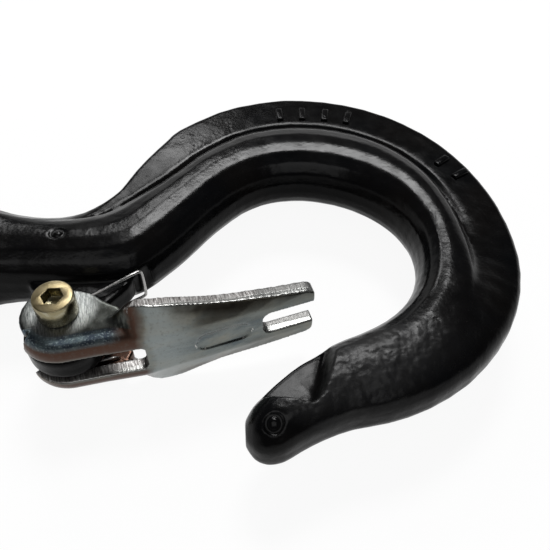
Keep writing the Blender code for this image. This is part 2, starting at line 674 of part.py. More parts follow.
def spring_path():
    """From one free end on the web, round the pivot, over the loop and back."""
    loop = Vector((LOOP_END[0], LOOP_END[1]))
    reach = loop.length
    lean = math.degrees(math.atan2(loop.y, loop.x))
    # the loop leg leaves the coil along its tangent, on the shank side of the pivot
    off = math.degrees(math.acos(COIL_R / reach))
    leave = lean + off
    web = WEB_ANGLE
    # the free end lies along the inside of the web and leaves the coil below the pivot
    down = web - 90.0
    sweep = (down - leave) % 360.0 + 360.0
    half = []
    free = Vector((math.cos(math.radians(web)), math.sin(math.radians(web))))
    foot = Vector((math.cos(math.radians(down)), math.sin(math.radians(down)))) * COIL_R
    for d in (10.5, 5.0, 1.2):
        p = foot + free * d
        half.append((p.x, p.y, COIL_Z1))
    count = max(10, round(sweep / 36.0))
    for i in range(count + 1):
        t = i / count
        # winds backwards from the free end, away from the mouth
        a = math.radians(down - sweep * t)
        z = COIL_Z1 + (COIL_Z0 - COIL_Z1) * t
        half.append((COIL_R * math.cos(a), COIL_R * math.sin(a), z))
    start = Vector(half[-1][:2])
    way = (loop - start).normalized()
    for d in (1.2, 5.0):
        p = start + way * d
        half.append((p.x, p.y, COIL_Z0))
    end = loop - way * 1.0
    half.append((end.x, end.y, LOOP_Z))
    corner = loop - way * 0.3
    half.append((corner.x, corner.y, LOOP_Z - 0.3))
    half.append((loop.x, loop.y, LOOP_Z - 1.0))
    other = [(x, y, -z) for x, y, z in reversed(half)]
    return half + other


def least_gap(points, radius):
    best = 1e9
    cumulative = [0.0]
    for p, q in zip(points, points[1:]):
        cumulative.append(cumulative[-1] + (Vector(q) - Vector(p)).length)
    fine = []
    for i in range(len(points) - 1):
        for k in range(6):
            t = k / 6
            p = Vector(points[i]).lerp(Vector(points[i + 1]), t)
            fine.append((cumulative[i] + (cumulative[i + 1] - cumulative[i]) * t, p))
    for i, (si, p) in enumerate(fine):
        for sj, q in fine[i + 1:]:
            if sj - si > 9 * radius:
                best = min(best, (p - q).length)
    return best - 2 * radius


def make_spring(col, mat):
    points = spring_path()
    print("latch_spring: least gap to itself %.2f mm" % least_gap(points, WIRE_R))
    return tube(points, WIRE_R, "latch_spring", col, mat)


def make_load_pin(col, cut, mat):
    """Clevis pin along its own Z, head up; turned so that its head is at +Y."""
    top = CLEVIS_HALF + GAP
    foot = -CLEVIS_HALF - COTTER_DROP - 2.7
    profile = [(0.0, top + 4.2), (6.0, top + 4.2), (7.0, top + 3.2), (7.0, top),
               (PIN_R, top), (PIN_R, foot + 0.8), (PIN_R - 0.8, foot), (0.0, foot)]
    pin = turned(profile, "load_pin", col, mat)
    hole = cylinder(0, 0, 1.3, -8, 8, "cotter_hole", cut, 20)
    move(hole, Matrix.Translation((0, 0, (-CLEVIS_HALF - COTTER_DROP) * MM))
         @ Matrix.Rotation(math.radians(90), 4, "Y"))
    boolean(pin, hole, "DIFFERENCE")
    clean(pin)
    smooth(pin, 30.0)
    return pin


def make_cotter(col, mat):
    """Split pin: an eye and two legs side by side, spread at their ends."""
    r = 0.42
    gap = 0.22
    off = r + gap / 2
    path = []
    for x, y in ((9.6, 3.6), (8.4, 2.9), (6.6, 1.3), (5.6, off + 0.05), (4.6, off), (-4.7, off)):
        path.append((x, y, 0.0))
    eye = [(-5.6, 0.9), (-6.4, 1.6), (-7.4, 1.95), (-8.4, 1.6), (-8.95, 0.8)]
    path += [(x, y, 0.0) for x, y in eye]
    path.append((-9.1, 0.0, 0.0))
    path += [(x, -y, 0.0) for x, y in reversed(eye)]
    for x, y in ((-4.7, -off), (4.6, -off), (5.6, -off - 0.05), (6.4, -1.5), (6.9, -3.0), (7.0, -4.4)):
        path.append((x, y, 0.0))
    return tube(path, r, "cotter_pin", col, mat)


def build():
    clear_scene()
    col = collection(COLLECTION)
    cut = collection("cutters", hidden=True)
    paint = material("black_paint", (0.02, 0.02, 0.022), 0.0, 0.35)
    zinc = material("zinc_plate", (0.62, 0.64, 0.68), 1.0, 0.3)
    yellow = material("yellow_zinc", (0.72, 0.58, 0.26), 1.0, 0.25)
    steel = material("spring_steel", (0.55, 0.55, 0.56), 1.0, 0.3)
    nylon = material("nylon", (0.16, 0.24, 0.55), 0.0, 0.5)

    # what stays with the hook, what swings about the latch pivot, what turns in the clevis
    frame = empty("hook_frame", col)
    pivot = empty("latch_pivot", col, parent=frame)
    pin_axis = empty("pin_axis", col, (PIN_X, CLEVIS_Y, 0.0), -90.0, parent=frame)

    washer_z = -EAR_OUT - GAP - WASHER_T / 2
    nut_top = washer_z - WASHER_T / 2 - GAP
    nut, nut_low = make_nut(col, cut, yellow, nut_top)
    washer = make_washer(col, yellow, "latch_washer", HOLE_R, WASHER_R, WASHER_T)
    washer.location.z = washer_z * MM
    fixed = [make_hook(col, cut, paint), nut, make_nut_ring(col, nylon, nut_low),
             make_screw(col, cut, yellow, nut_low + 0.3), washer, make_sleeve(col, steel),
             make_spring(col, steel)]
    for obj in fixed:
        obj.parent = frame

    latch = make_latch(col, cut, zinc)
    latch.parent = pivot

    pin_washer = make_washer(col, zinc, "pin_washer", PIN_R + GAP, 8.0, PIN_WASHER_T)
    pin_washer.location.z = (-CLEVIS_HALF - GAP - PIN_WASHER_T / 2) * MM
    cotter = make_cotter(col, steel)
    cotter.location.z = (-CLEVIS_HALF - COTTER_DROP) * MM
    turning = [make_load_pin(col, cut, zinc), pin_washer, cotter]
    for obj in turning:
        obj.parent = pin_axis

    for obj in list(cut.objects):
        bpy.data.objects.remove(obj, do_unlink=True)
    bpy.data.collections.remove(cut)

    # stand the whole on the floor, its middle over the origin
    pieces = fixed + [latch] + turning
    bpy.context.view_layer.update()
    lo = Vector((1e9, 1e9, 1e9))
    hi = -lo
    for obj in pieces:
        for vertex in obj.data.vertices:
            place = obj.matrix_world @ vertex.co
            for k in range(3):
                lo[k] = min(lo[k], place[k])
                hi[k] = max(hi[k], place[k])
    frame.location = Vector((-(lo.x + hi.x) / 2, -(lo.y + hi.y) / 2, -lo.z))
    print("latch pivot in the floor frame (mm): %.3f %.3f %.3f" % tuple(frame.location / MM))
    print("size (mm): %.2f %.2f %.2f" % tuple((hi - lo) / MM))
    for obj in pieces:
        print(obj.name, len(obj.data.vertices), "vertices")


build()
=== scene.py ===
# %% [markdown]
# # A forged hook with a plated latch
#
# The working model of this hook is already made: every piece is in the right place and
# the latch swings.  This lesson gives it its looks: a lumpy forging under black paint, a
# pressed latch in bright zinc, a yellow zinc screw and a bent wire spring.
#
# The frame comes first.  Everything below is placed from it, in metres.

# %% Load the frame
import json
import math

import bmesh
import bpy
from mathutils import Matrix, Vector, noise

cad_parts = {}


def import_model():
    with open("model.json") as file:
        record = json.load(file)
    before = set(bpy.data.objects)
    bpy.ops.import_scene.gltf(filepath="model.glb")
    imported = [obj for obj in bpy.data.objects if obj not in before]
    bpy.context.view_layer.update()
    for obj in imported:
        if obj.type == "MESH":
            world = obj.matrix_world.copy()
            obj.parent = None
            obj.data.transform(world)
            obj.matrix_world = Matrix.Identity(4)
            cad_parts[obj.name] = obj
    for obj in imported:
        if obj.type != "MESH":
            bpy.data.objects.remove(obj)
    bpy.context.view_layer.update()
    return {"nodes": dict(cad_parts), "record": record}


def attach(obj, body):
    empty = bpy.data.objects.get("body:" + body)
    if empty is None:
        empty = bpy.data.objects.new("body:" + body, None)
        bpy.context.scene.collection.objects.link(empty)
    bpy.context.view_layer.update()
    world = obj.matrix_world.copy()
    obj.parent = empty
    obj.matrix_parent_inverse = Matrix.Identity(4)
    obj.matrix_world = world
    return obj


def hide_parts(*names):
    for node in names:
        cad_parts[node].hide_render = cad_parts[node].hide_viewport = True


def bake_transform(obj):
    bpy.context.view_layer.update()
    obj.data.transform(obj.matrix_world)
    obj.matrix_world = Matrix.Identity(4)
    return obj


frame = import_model()
MM = 0.001

# %% [markdown]
# One axis rules the layout: the pivot of the latch.  It is a joint in the record, so its
# place is read there and never typed twice.  From it run the latch's flat web, at a slant,
# and the way to the middle of the bowl.

# %% The pivot, the web and the bowl
joints = {joint["name"]: joint for joint in frame["record"]["behaviour"]["joints"]}
pivot = Vector(joints["latch_swing"]["pos_m"])
web_angle = math.radians(17.3)      # slant of the web where the latch rests
along_web = Vector((math.cos(web_angle), math.sin(web_angle), 0.0))
below_web = Vector((math.sin(web_angle), -math.cos(web_angle), 0.0))


def from_pivot(x, y, z):
    """A place on the hook, counted from the latch's pivot in millimetres."""
    return pivot + Vector((x, y, z)) * MM


bowl_middle = from_pivot(51.5, 22.0, 0.0)
print("latch pivot at", tuple(round(v, 4) for v in pivot))


# %% [markdown]
# ## The camera
#
# The round head of the pivot screw shows as an ellipse, and an ellipse with a known
# height gives away the camera: how steeply it looks down, how far off it is and how long
# its lens is.  With the camera known, the other sizes were read off the picture.

# %% Camera
def add_camera():
    look_down = math.radians(49.75)
    roll = math.radians(0.79)
    spot = from_pivot(44.43, -80.07, 116.18)
    data = bpy.data.cameras.new("camera")
    data.sensor_width = 36.0
    data.lens = 42.55
    data.clip_start = 0.005
    data.clip_end = 20.0
    camera = bpy.data.objects.new("camera", data)
    bpy.context.scene.collection.objects.link(camera)
    tilt = Matrix.Rotation(math.pi / 2 - look_down, 4, "X") @ Matrix.Rotation(roll, 4, "Z")
    camera.matrix_world = Matrix.Translation(spot) @ tilt
    bpy.context.scene.camera = camera
    return camera


camera = add_camera()
print("camera at", tuple(round(v, 3) for v in camera.matrix_world.translation))


# %% [markdown]
# ## Node helpers
#
# A procedural finish is a handful of noises wired into one shader, and small helpers keep
# the wiring short.  The first ones start a finish, read the object's own coordinates, and
# make a noise on them.  A pattern on those coordinates stays put when the piece moves.

# %% Finish, coordinates and noise
def new_finish(name, metallic):
    finish = bpy.data.materials.new(name)
    finish.use_nodes = True
    tree = finish.node_tree
    shader = tree.nodes["Principled BSDF"]
    shader.inputs["Metallic"].default_value = metallic
    place = tree.nodes.new("ShaderNodeTexCoord")
    place.name = "place"
    return finish, tree, shader


def mapped(tree, size=(1.0, 1.0, 1.0), turn=0.0, centre=(0.0, 0.0, 0.0)):
    """Coordinates counted from a centre, along turned axes, in steps of a size in metres."""
    node = tree.nodes.new("ShaderNodeMapping")
    node.vector_type = "TEXTURE"
    node.inputs["Location"].default_value = centre
    node.inputs["Rotation"].default_value = (0.0, 0.0, turn)
    node.inputs["Scale"].default_value = size
    tree.links.new(tree.nodes["place"].outputs["Object"], node.inputs["Vector"])
    return node.outputs["Vector"]


def noise_of(tree, scale, detail=3.0, rough=0.5, vector=None, distortion=0.0):
    node = tree.nodes.new("ShaderNodeTexNoise")
    node.inputs["Scale"].default_value = scale
    node.inputs["Detail"].default_value = detail
    node.inputs["Roughness"].default_value = rough
    node.inputs["Distortion"].default_value = distortion
    source = tree.nodes["place"].outputs["Object"] if vector is None else vector
    tree.links.new(source, node.inputs["Vector"])
    return node.outputs["Fac"]


print("coordinate and noise helpers ready")


# %% [markdown]
# A noise is a grey number from nought to one.  A colour ramp turns it into tints, a map
# range turns it into a roughness, and a mix lays one tint over another by its share.

# %% Ramps, ranges and mixes
def ramp_of(tree, value, stops):
    node = tree.nodes.new("ShaderNodeValToRGB")
    band = node.color_ramp
    while len(band.elements) < len(stops):
        band.elements.new(0.5)
    for element, (at, colour) in zip(band.elements, stops):
        element.position = at
        element.color = (*colour, 1.0)
    tree.links.new(value, node.inputs["Fac"])
    return node.outputs["Color"]


def range_of(tree, value, low, high, from_low=0.3, from_high=0.7):
    node = tree.nodes.new("ShaderNodeMapRange")
    node.inputs["From Min"].default_value = from_low
    node.inputs["From Max"].default_value = from_high
    node.inputs["To Min"].default_value = low
    node.inputs["To Max"].default_value = high
    tree.links.new(value, node.inputs["Value"])
    return node.outputs["Result"]


def mixed(tree, factor, one, two):
    node = tree.nodes.new("ShaderNodeMix")
    node.data_type = "RGBA"
    for value, socket in ((factor, 0), (one, 6), (two, 7)):
        if isinstance(value, (int, float)):
            node.inputs[socket].default_value = value
        elif isinstance(value, tuple):
            node.inputs[socket].default_value = (*value, 1.0)
        else:
            tree.links.new(value, node.inputs[socket])
    return node.outputs[2]


def steps_of(tree, value, stops):
    """A grey ramp for masks: stops are (position, grey)."""
    return ramp_of(tree, value, [(at, (grey, grey, grey)) for at, grey in stops])


def maths(tree, operation, one, two=0.0, three=0.0):
    node = tree.nodes.new("ShaderNodeMath")
    node.operation = operation
    for value, socket in zip((one, two, three), node.inputs):
        if isinstance(value, (int, float)):
            socket.default_value = value
        else:
            tree.links.new(value, socket)
    return node.outputs[0]


print("ramp and mix helpers ready")


# %% [markdown]
# Real plating and paint aren't the same all over.  A soft patch marks a place on the
# piece, and a window marks a stretch along it, so that a stain, a worn spot or a brushed
# zone lies where it does on the real hook.

# %% Bumps, patches and windows
def bumped(tree, shader, heights):
    """Chain of bumps; each height is (socket, strength, distance in metres)."""
    last = None
    for value, strength, distance in heights:
        node = tree.nodes.new("ShaderNodeBump")
        node.inputs["Strength"].default_value = strength
        node.inputs["Distance"].default_value = distance
        tree.links.new(value, node.inputs["Height"])
        if last is not None:
            tree.links.new(last, node.inputs["Normal"])
        last = node.outputs["Normal"]
    tree.links.new(last, shader.inputs["Normal"])


def patch_of(tree, centre, radii, turn=0.0):
    """A soft patch: one at the centre, fading to nothing at the radii."""
    ball = tree.nodes.new("ShaderNodeTexGradient")
    ball.gradient_type = "SPHERICAL"
    tree.links.new(mapped(tree, radii, turn, centre), ball.inputs["Vector"])
    return ball.outputs["Fac"]


def web_places(tree):
    """Distance along the web, height above it and height up the pivot, in millimetres."""
    split = tree.nodes.new("ShaderNodeSeparateXYZ")
    tree.links.new(mapped(tree, (MM, MM, MM), web_angle, tuple(pivot)), split.inputs[0])
    return split.outputs["X"], split.outputs["Y"], split.outputs["Z"]


def after(tree, value, rise_from, rise_to):
    """Nothing before a soft edge, one past it."""
    return range_of(tree, value, 0.0, 1.0, rise_from, rise_to)


def before(tree, value, fall_from, fall_to):
    """One before a soft edge, nothing past it."""
    return range_of(tree, value, 1.0, 0.0, fall_from, fall_to)


def window(tree, value, rise_from, rise_to, fall_from, fall_to):
    """One between two soft edges, nothing outside them."""
    return maths(tree, "MULTIPLY", after(tree, value, rise_from, rise_to),
                 before(tree, value, fall_from, fall_to))


print("mask helpers ready")


# %% [markdown]
# ## Black paint on a forging
#
# A forging is never flat: the die leaves soft lumps a few millimetres across, scale
# leaves small pits, and dipped paint adds orange peel on top.  The lumps are modelled
# further down; the peel and the pits are bumps.  The black drifts between warm and cool.
#
# Its gloss isn't even either.  The limb and the saddle beside the tip's pocket are satin
# and wavy, the flange is dull with one worn, shinier stretch, and the pocket was struck
# flat, so its skin is smooth.  Each of these is a soft patch at its place on the hook.

# %% Places where the paint differs
def limb_and_saddle(tree):
    limb = patch_of(tree, from_pivot(65.0, -10.5, 7.0), (0.026, 0.0095, 0.011),
                    math.radians(24.0))
    saddle = patch_of(tree, from_pivot(52.5, -17.0, 7.0), (0.0085, 0.005, 0.009),
                      math.radians(40.0))
    return steps_of(tree, maths(tree, "MAXIMUM", limb, saddle), [(0.05, 0.0), (0.55, 1.0)])


def paint_shine(tree, satin):
    """Mirror strength: low on the flange, higher on the bead's crown and where satin."""
    height = web_places(tree)[2]
    worn = patch_of(tree, from_pivot(22.0, 60.0, 4.3), (0.017, 0.010, 0.008),
                    math.radians(37.0))
    low = maths(tree, "MULTIPLY_ADD", worn, 0.16, range_of(tree, height, 0.05, 0.12, 0.0, 4.0))
    crown = range_of(tree, height, 0.0, 0.08, 4.8, 6.5)
    return maths(tree, "MULTIPLY_ADD", satin, 0.22, maths(tree, "ADD", low, crown))


def struck_pocket(tree):
    """Nearly nothing in the tip's pocket, one elsewhere."""
    pocket = patch_of(tree, from_pivot(50.0, -11.5, 5.0), (0.009, 0.0055, 0.006),
                      math.radians(48.0))
    return steps_of(tree, pocket, [(0.05, 1.0), (0.45, 0.12)])


# %% Black paint
def black_paint():
    finish, tree, shader = new_finish("black_paint", 0.0)
    broad = noise_of(tree, 70.0, 2.0)
    tone = ramp_of(tree, broad, [(0.35, (0.0012, 0.0014, 0.0018)),
                                 (0.65, (0.0028, 0.0023, 0.0021))])
    specks = noise_of(tree, 3000.0, 1.0, 0.5)
    dust = steps_of(tree, specks, [(0.74, 0.0), (0.80, 1.0)])
    colour = mixed(tree, dust, tone, (0.020, 0.018, 0.016))
    tree.links.new(colour, shader.inputs["Base Color"])
    satin = limb_and_saddle(tree)
    patch = noise_of(tree, 260.0, 3.0, 0.55)
    gloss = mixed(tree, satin, range_of(tree, patch, 0.17, 0.27),
                  range_of(tree, patch, 0.38, 0.46))
    tree.links.new(gloss, shader.inputs["Roughness"])
    tree.links.new(paint_shine(tree, satin), shader.inputs["Specular IOR Level"])
    skin = struck_pocket(tree)
    ripple = noise_of(tree, 430.0, 2.0, 0.5)
    peel = noise_of(tree, 1150.0, 2.0, 0.5)
    pits = noise_of(tree, 380.0, 2.0, 0.5)
    pit_shape = steps_of(tree, pits, [(0.20, 0.0), (0.30, 1.0)])
    waves = noise_of(tree, 400.0, 1.5, 0.45)
    bumped(tree, shader, [(maths(tree, "MULTIPLY", ripple, skin), 0.6, 0.00009),
                          (maths(tree, "MULTIPLY", waves, satin), 1.0, 0.00050),
                          (pit_shape, 0.4, 0.00010),
                          (maths(tree, "MULTIPLY", peel, skin), 0.45, 0.00007)])
    return finish


paint = black_paint()
print("black paint ready")


# %% [markdown]
# ## Bright zinc on pressed steel
#
# Zinc plate is a thin bluish metal skin with a passivated film that turns some areas
# straw or violet.  Handling and the press leave long fine scratches.  The load pin and its
# washer wear this finish as it is.

# %% Plain zinc
def zinc_plate():
    finish, tree, shader = new_finish("pin_zinc", 1.0)
    cloud = noise_of(tree, 75.0, 3.0, 0.55, distortion=0.5)
    tint = ramp_of(tree, cloud, [(0.34, (0.30, 0.33, 0.37)), (0.48, (0.36, 0.38, 0.38)),
                                 (0.60, (0.38, 0.36, 0.32)), (0.70, (0.31, 0.33, 0.36))])
    grime = noise_of(tree, 900.0, 5.0, 0.7)
    dull = steps_of(tree, grime, [(0.55, 0.0), (0.75, 0.7)])
    colour = mixed(tree, dull, tint, (0.17, 0.165, 0.15))
    tree.links.new(colour, shader.inputs["Base Color"])
    lines = noise_of(tree, 1.0, 4.0, 0.7,
                     vector=mapped(tree, (0.012, 0.0008, 0.0008), math.pi / 2))
    gloss = mixed(tree, 0.5, range_of(tree, lines, 0.20, 0.42), range_of(tree, cloud, 0.2, 0.4))
    tree.links.new(gloss, shader.inputs["Roughness"])
    ripple = noise_of(tree, 260.0, 3.0, 0.5)
    bumped(tree, shader, [(ripple, 0.25, 0.0001), (lines, 0.12, 0.00005)])
    return finish


pin_zinc = zinc_plate()
print("plain zinc ready")


# %% [markdown]
# The latch's colours tell where it was bent and handled.  The web is a dim blue grey with
# straw smudges.  Brown and blue bands follow the bend on its lower side: they are painted
# reflections of what the turning sheet mirrors.  The ear round the screw was ground, so it is
# bright and brushed.  Distances are in millimetres along the web, above it and up the pivot,
# and a slow noise makes the ends of these marks wander.

# %% Plating on the web
def web_plating(tree, cloud, drawn, wander, along, up):
    """Blue grey with straw smudges, brighter past the bend, dark along the rim."""
    tint = ramp_of(tree, cloud, [(0.34, (0.082, 0.100, 0.106)), (0.50, (0.148, 0.164, 0.157)),
                                 (0.66, (0.192, 0.190, 0.162))])
    smudge = steps_of(tree, noise_of(tree, 62.0, 4.0, 0.6, vector=drawn),
                      [(0.48, 0.0), (0.66, 0.8)])
    tint = mixed(tree, smudge, tint, (0.095, 0.084, 0.062))
    bright = maths(tree, "MULTIPLY", window(tree, along, 15.5, 17.0, 20.0, 27.0), 0.55)
    tint = mixed(tree, bright, tint, (0.235, 0.262, 0.262))
    towards_rim = maths(tree, "MULTIPLY_ADD", along, 0.2, up)
    rim = maths(tree, "MULTIPLY", after(tree, towards_rim, 13.6, 15.4),
                window(tree, along, 19.0, 24.0, 36.0, 44.0))
    rim = maths(tree, "MULTIPLY", rim, range_of(tree, wander, 0.2, 1.0))
    return mixed(tree, rim, tint, (0.030, 0.026, 0.020))


# %% Painted reflections along the bend
def bend_reflections_and_dark_ear(tree, plating, along, above, up):
    """Painted reflections along the bend, a brown belt and shoulder and a grained blue band above
    them, and a dark upper ear.
    """
    low_side = before(tree, above, 4.0, 6.5)
    belt = maths(tree, "MULTIPLY", window(tree, up, 3.6, 4.8, 6.6, 7.8),
                 before(tree, along, 12.0, 15.0))
    shoulder = maths(tree, "MULTIPLY", after(tree, up, 3.4, 4.6),
                     window(tree, along, 6.0, 8.0, 14.0, 16.2))
    # The brown belt and shoulder are a painted reflection along the bend.
    brown_reflection = maths(tree, "MULTIPLY", maths(tree, "MAXIMUM", belt, shoulder), low_side)
    with_painted_reflections = mixed(tree, brown_reflection, plating, (0.060, 0.034, 0.025))
    # The grained blue band above them is a painted reflection as well.
    band = maths(tree, "MULTIPLY", window(tree, up, 6.6, 7.6, 8.75, 8.86),
                 before(tree, along, 9.0, 11.5))
    blots = steps_of(tree, noise_of(tree, 420.0, 3.0, 0.6), [(0.40, 0.0), (0.60, 1.0)])
    grains = steps_of(tree, noise_of(tree, 2600.0, 2.0, 0.6), [(0.55, 0.0), (0.70, 1.0)])
    blue_reflection = mixed(tree, blots, (0.050, 0.065, 0.085), (0.115, 0.150, 0.160))
    blue_reflection = mixed(tree, grains, blue_reflection, (0.30, 0.37, 0.38))
    with_blue_reflection = mixed(tree, maths(tree, "MULTIPLY", band, low_side), with_painted_reflections, blue_reflection)
    upper_ear = maths(tree, "MULTIPLY", after(tree, up, 8.72, 8.85),
                      before(tree, along, 12.6, 13.4))
    dark = mixed(tree, blots, (0.036, 0.038, 0.034), (0.085, 0.090, 0.082))
    return mixed(tree, upper_ear, with_blue_reflection, dark)


# %% The latch's finish
def latch_finish():
    finish, tree, shader = new_finish("latch_zinc", 1.0)
    along, above, up = web_places(tree)
    up = maths(tree, "ABSOLUTE", up)
    wander = noise_of(tree, 170.0, 3.0, 0.55)
    along = maths(tree, "MULTIPLY_ADD", wander, 5.0, maths(tree, "ADD", along, -2.5))
    drawn = mapped(tree, (2.2, 1.0, 1.0), web_angle)
    cloud = noise_of(tree, 150.0, 4.0, 0.62, vector=drawn, distortion=0.6)
    plating = web_plating(tree, cloud, drawn, wander, along, up)
    # Painted reflections along the bend, and the dark upper ear, go over the plating.
    with_painted_reflections = bend_reflections_and_dark_ear(tree, plating, along, above, up)
    grime = noise_of(tree, 1300.0, 5.0, 0.7)
    dull = mixed(tree, steps_of(tree, grime, [(0.52, 0.0), (0.72, 0.5)]), with_painted_reflections,
                 (0.080, 0.076, 0.066))
    ear = steps_of(tree, patch_of(tree, from_pivot(0.0, 1.5, 9.4), (0.0092, 0.0092, 0.0032)),
                   [(0.05, 0.0), (0.45, 1.0)])
    brush = noise_of(tree, 1.0, 4.0, 0.7, vector=mapped(tree, (0.00026, 0.0022, 0.003), 0.25),
                     distortion=1.0)
    ear_tint = ramp_of(tree, brush, [(0.36, (0.10, 0.11, 0.11)), (0.64, (0.58, 0.60, 0.58))])
    tree.links.new(mixed(tree, ear, dull, ear_tint), shader.inputs["Base Color"])
    gloss = mixed(tree, ear, range_of(tree, cloud, 0.24, 0.36), range_of(tree, brush, 0.38, 0.52))
    tree.links.new(gloss, shader.inputs["Roughness"])
    lines = noise_of(tree, 1.0, 3.0, 0.6,
                     vector=mapped(tree, (0.010, 0.0006, 0.0006), web_angle))
    comb = mixed(tree, ear, (0.5, 0.5, 0.5), brush)
    ripple = noise_of(tree, 300.0, 2.0, 0.5)
    bumped(tree, shader, [(ripple, 0.25, 0.00008), (lines, 0.10, 0.00004),
                          (comb, 0.8, 0.00009)])
    return finish


latch_zinc = latch_finish()
print("latch finish ready")


# %% [markdown]
# The press shears the sheet, which leaves two bands on every cut edge: a smooth burnished
# one beside the outer face, and a rougher torn one behind it.  Both carry marks that run
# across the edge.

# %% Sheared edges
def sheared_zinc():
    """Cut edges: a burnished band beside the outer face, a torn band behind it."""
    finish, tree, shader = new_finish("sheared_zinc", 1.0)
    drag = noise_of(tree, 1.0, 4.0, 0.65,
                    vector=mapped(tree, (0.0003, 0.0028, 0.0028), web_angle))
    along, above = web_places(tree)[:2]
    deep = range_of(tree, along, 2.0, 0.0, 15.6, 16.2)
    level = maths(tree, "ADD", maths(tree, "MULTIPLY_ADD", drag, 0.9, above), deep)
    torn = range_of(tree, level, 0.0, 1.0, -6.55, -6.25)
    burnish = ramp_of(tree, drag, [(0.3, (0.24, 0.24, 0.23)), (0.7, (0.52, 0.52, 0.50))])
    rough_tint = ramp_of(tree, drag, [(0.34, (0.10, 0.09, 0.085)), (0.50, (0.34, 0.325, 0.315)),
                                      (0.66, (0.72, 0.71, 0.69))])
    # Painted shade: the fork's cut faces are mixed towards a dark grey, for less light falling
    # there.
    fork_shade_share = maths(tree, "MULTIPLY", after(tree, along, 39.0, 41.0), 0.6)
    steel = mixed(tree, fork_shade_share, mixed(tree, torn, burnish, rough_tint), (0.16, 0.165, 0.16))
    tree.links.new(steel, shader.inputs["Base Color"])
    tree.links.new(range_of(tree, torn, 0.30, 0.50, 0.0, 1.0), shader.inputs["Roughness"])
    chips = noise_of(tree, 2200.0, 3.0, 0.6)
    bumped(tree, shader, [(torn, 0.35, 0.0001), (drag, 0.5, 0.00009), (chips, 0.4, 0.00005)])
    return finish


edge_zinc = sheared_zinc()
print("edge finish ready")


# %% [markdown]
# ## Yellow zinc, spring wire and nylon
#
# The screw, its nut and washer are passivated yellow: a golden metal with a greenish
# shimmer.  The head was turned, so faint rings lie round its axis; a Mapping node moves
# the pattern's centre onto the screw.  The top of the head is less glossy than its side, and
# its tint is painted lighter, which stands for the light falling on that face.  Spring wire
# is a cloudy grey, and the nut's ring is plain nylon.

# %% Small finishes
def yellow_zinc():
    finish, tree, shader = new_finish("yellow_zinc", 1.0)
    cloud = noise_of(tree, 380.0, 3.0, 0.55, distortion=0.5)
    tint = ramp_of(tree, cloud, [(0.30, (0.17, 0.145, 0.080)), (0.48, (0.25, 0.22, 0.135)),
                                 (0.62, (0.34, 0.32, 0.235)), (0.74, (0.22, 0.21, 0.13))])
    # Painted light: the head's top face gets a lighter tint for the light that falls on it; its
    # lower gloss is the finish's own.
    head_top = after(tree, web_places(tree)[2], 14.05, 14.15)
    painted_lit_tint = ramp_of(tree, cloud, [(0.30, (0.32, 0.26, 0.14)), (0.70, (0.42, 0.35, 0.21))])
    tree.links.new(mixed(tree, head_top, tint, painted_lit_tint), shader.inputs["Base Color"])
    gloss = mixed(tree, head_top, range_of(tree, cloud, 0.16, 0.34),
                  range_of(tree, cloud, 0.36, 0.46))
    tree.links.new(gloss, shader.inputs["Roughness"])
    rings = tree.nodes.new("ShaderNodeTexWave")
    rings.wave_type = "RINGS"
    rings.rings_direction = "Z"
    rings.inputs["Scale"].default_value = 1300.0
    rings.inputs["Distortion"].default_value = 0.6
    tree.links.new(mapped(tree, centre=tuple(pivot)), rings.inputs["Vector"])
    fine = noise_of(tree, 1800.0, 3.0, 0.6)
    bumped(tree, shader, [(rings.outputs["Fac"], 0.10, 0.00003), (fine, 0.12, 0.00005)])
    return finish


def spring_wire():
    finish, tree, shader = new_finish("spring_wire", 1.0)
    cloud = noise_of(tree, 700.0, 4.0, 0.6)
    tint = ramp_of(tree, cloud, [(0.34, (0.26, 0.26, 0.25)), (0.6, (0.44, 0.43, 0.42)),
                                 (0.8, (0.22, 0.21, 0.20))])
    tree.links.new(tint, shader.inputs["Base Color"])
    tree.links.new(range_of(tree, cloud, 0.2, 0.42), shader.inputs["Roughness"])
    bumped(tree, shader, [(cloud, 0.2, 0.00004)])
    return finish


def blue_nylon():
    finish, tree, shader = new_finish("blue_nylon", 0.0)
    cloud = noise_of(tree, 900.0, 2.0)
    tint = ramp_of(tree, cloud, [(0.3, (0.06, 0.12, 0.34)), (0.7, (0.09, 0.17, 0.42))])
    tree.links.new(tint, shader.inputs["Base Color"])
    tree.links.new(range_of(tree, cloud, 0.4, 0.6), shader.inputs["Roughness"])
    bumped(tree, shader, [(cloud, 0.1, 0.00004)])
    return finish


gold = yellow_zinc()
wire = spring_wire()
nylon = blue_nylon()
print("small finishes ready")


# %% [markdown]
# ## Working from a CAD solid
#
# A CAD solid arrives as loose triangles.  A copy is welded first; then modifiers can
# work on it.  The first helper below makes such a copy.  The others bake modifiers into
# the mesh, so that the finished piece is plain geometry at the origin.

# %% Copy and bake helpers
def welded_copy(node, name):
    mesh = frame["nodes"][node].data.copy()
    mesh.name = name
    piece = bpy.data.objects.new(name, mesh)
    bpy.context.scene.collection.objects.link(piece)
    mesh.transform(frame["nodes"][node].matrix_world)
    bm = bmesh.new()
    bm.from_mesh(mesh)
    bmesh.ops.remove_doubles(bm, verts=bm.verts, dist=0.001 * MM)
    bmesh.ops.dissolve_limit(bm, angle_limit=math.radians(0.3), verts=bm.verts,
                             edges=bm.edges, use_dissolve_boundaries=False)
    bm.to_mesh(mesh)
    bm.free()
    mesh.materials.clear()
    return piece


def baked(piece):
    graph = bpy.context.evaluated_depsgraph_get()
    mesh = bpy.data.meshes.new_from_object(piece.evaluated_get(graph))
    piece.modifiers.clear()
    old = piece.data
    piece.data = mesh
    bpy.data.meshes.remove(old)
    mesh.name = piece.name
    return piece


def remeshed(piece, voxel):
    grid = piece.modifiers.new("grid", "REMESH")
    grid.mode = "VOXEL"
    grid.voxel_size = voxel
    grid.use_smooth_shade = True
    return baked(piece)


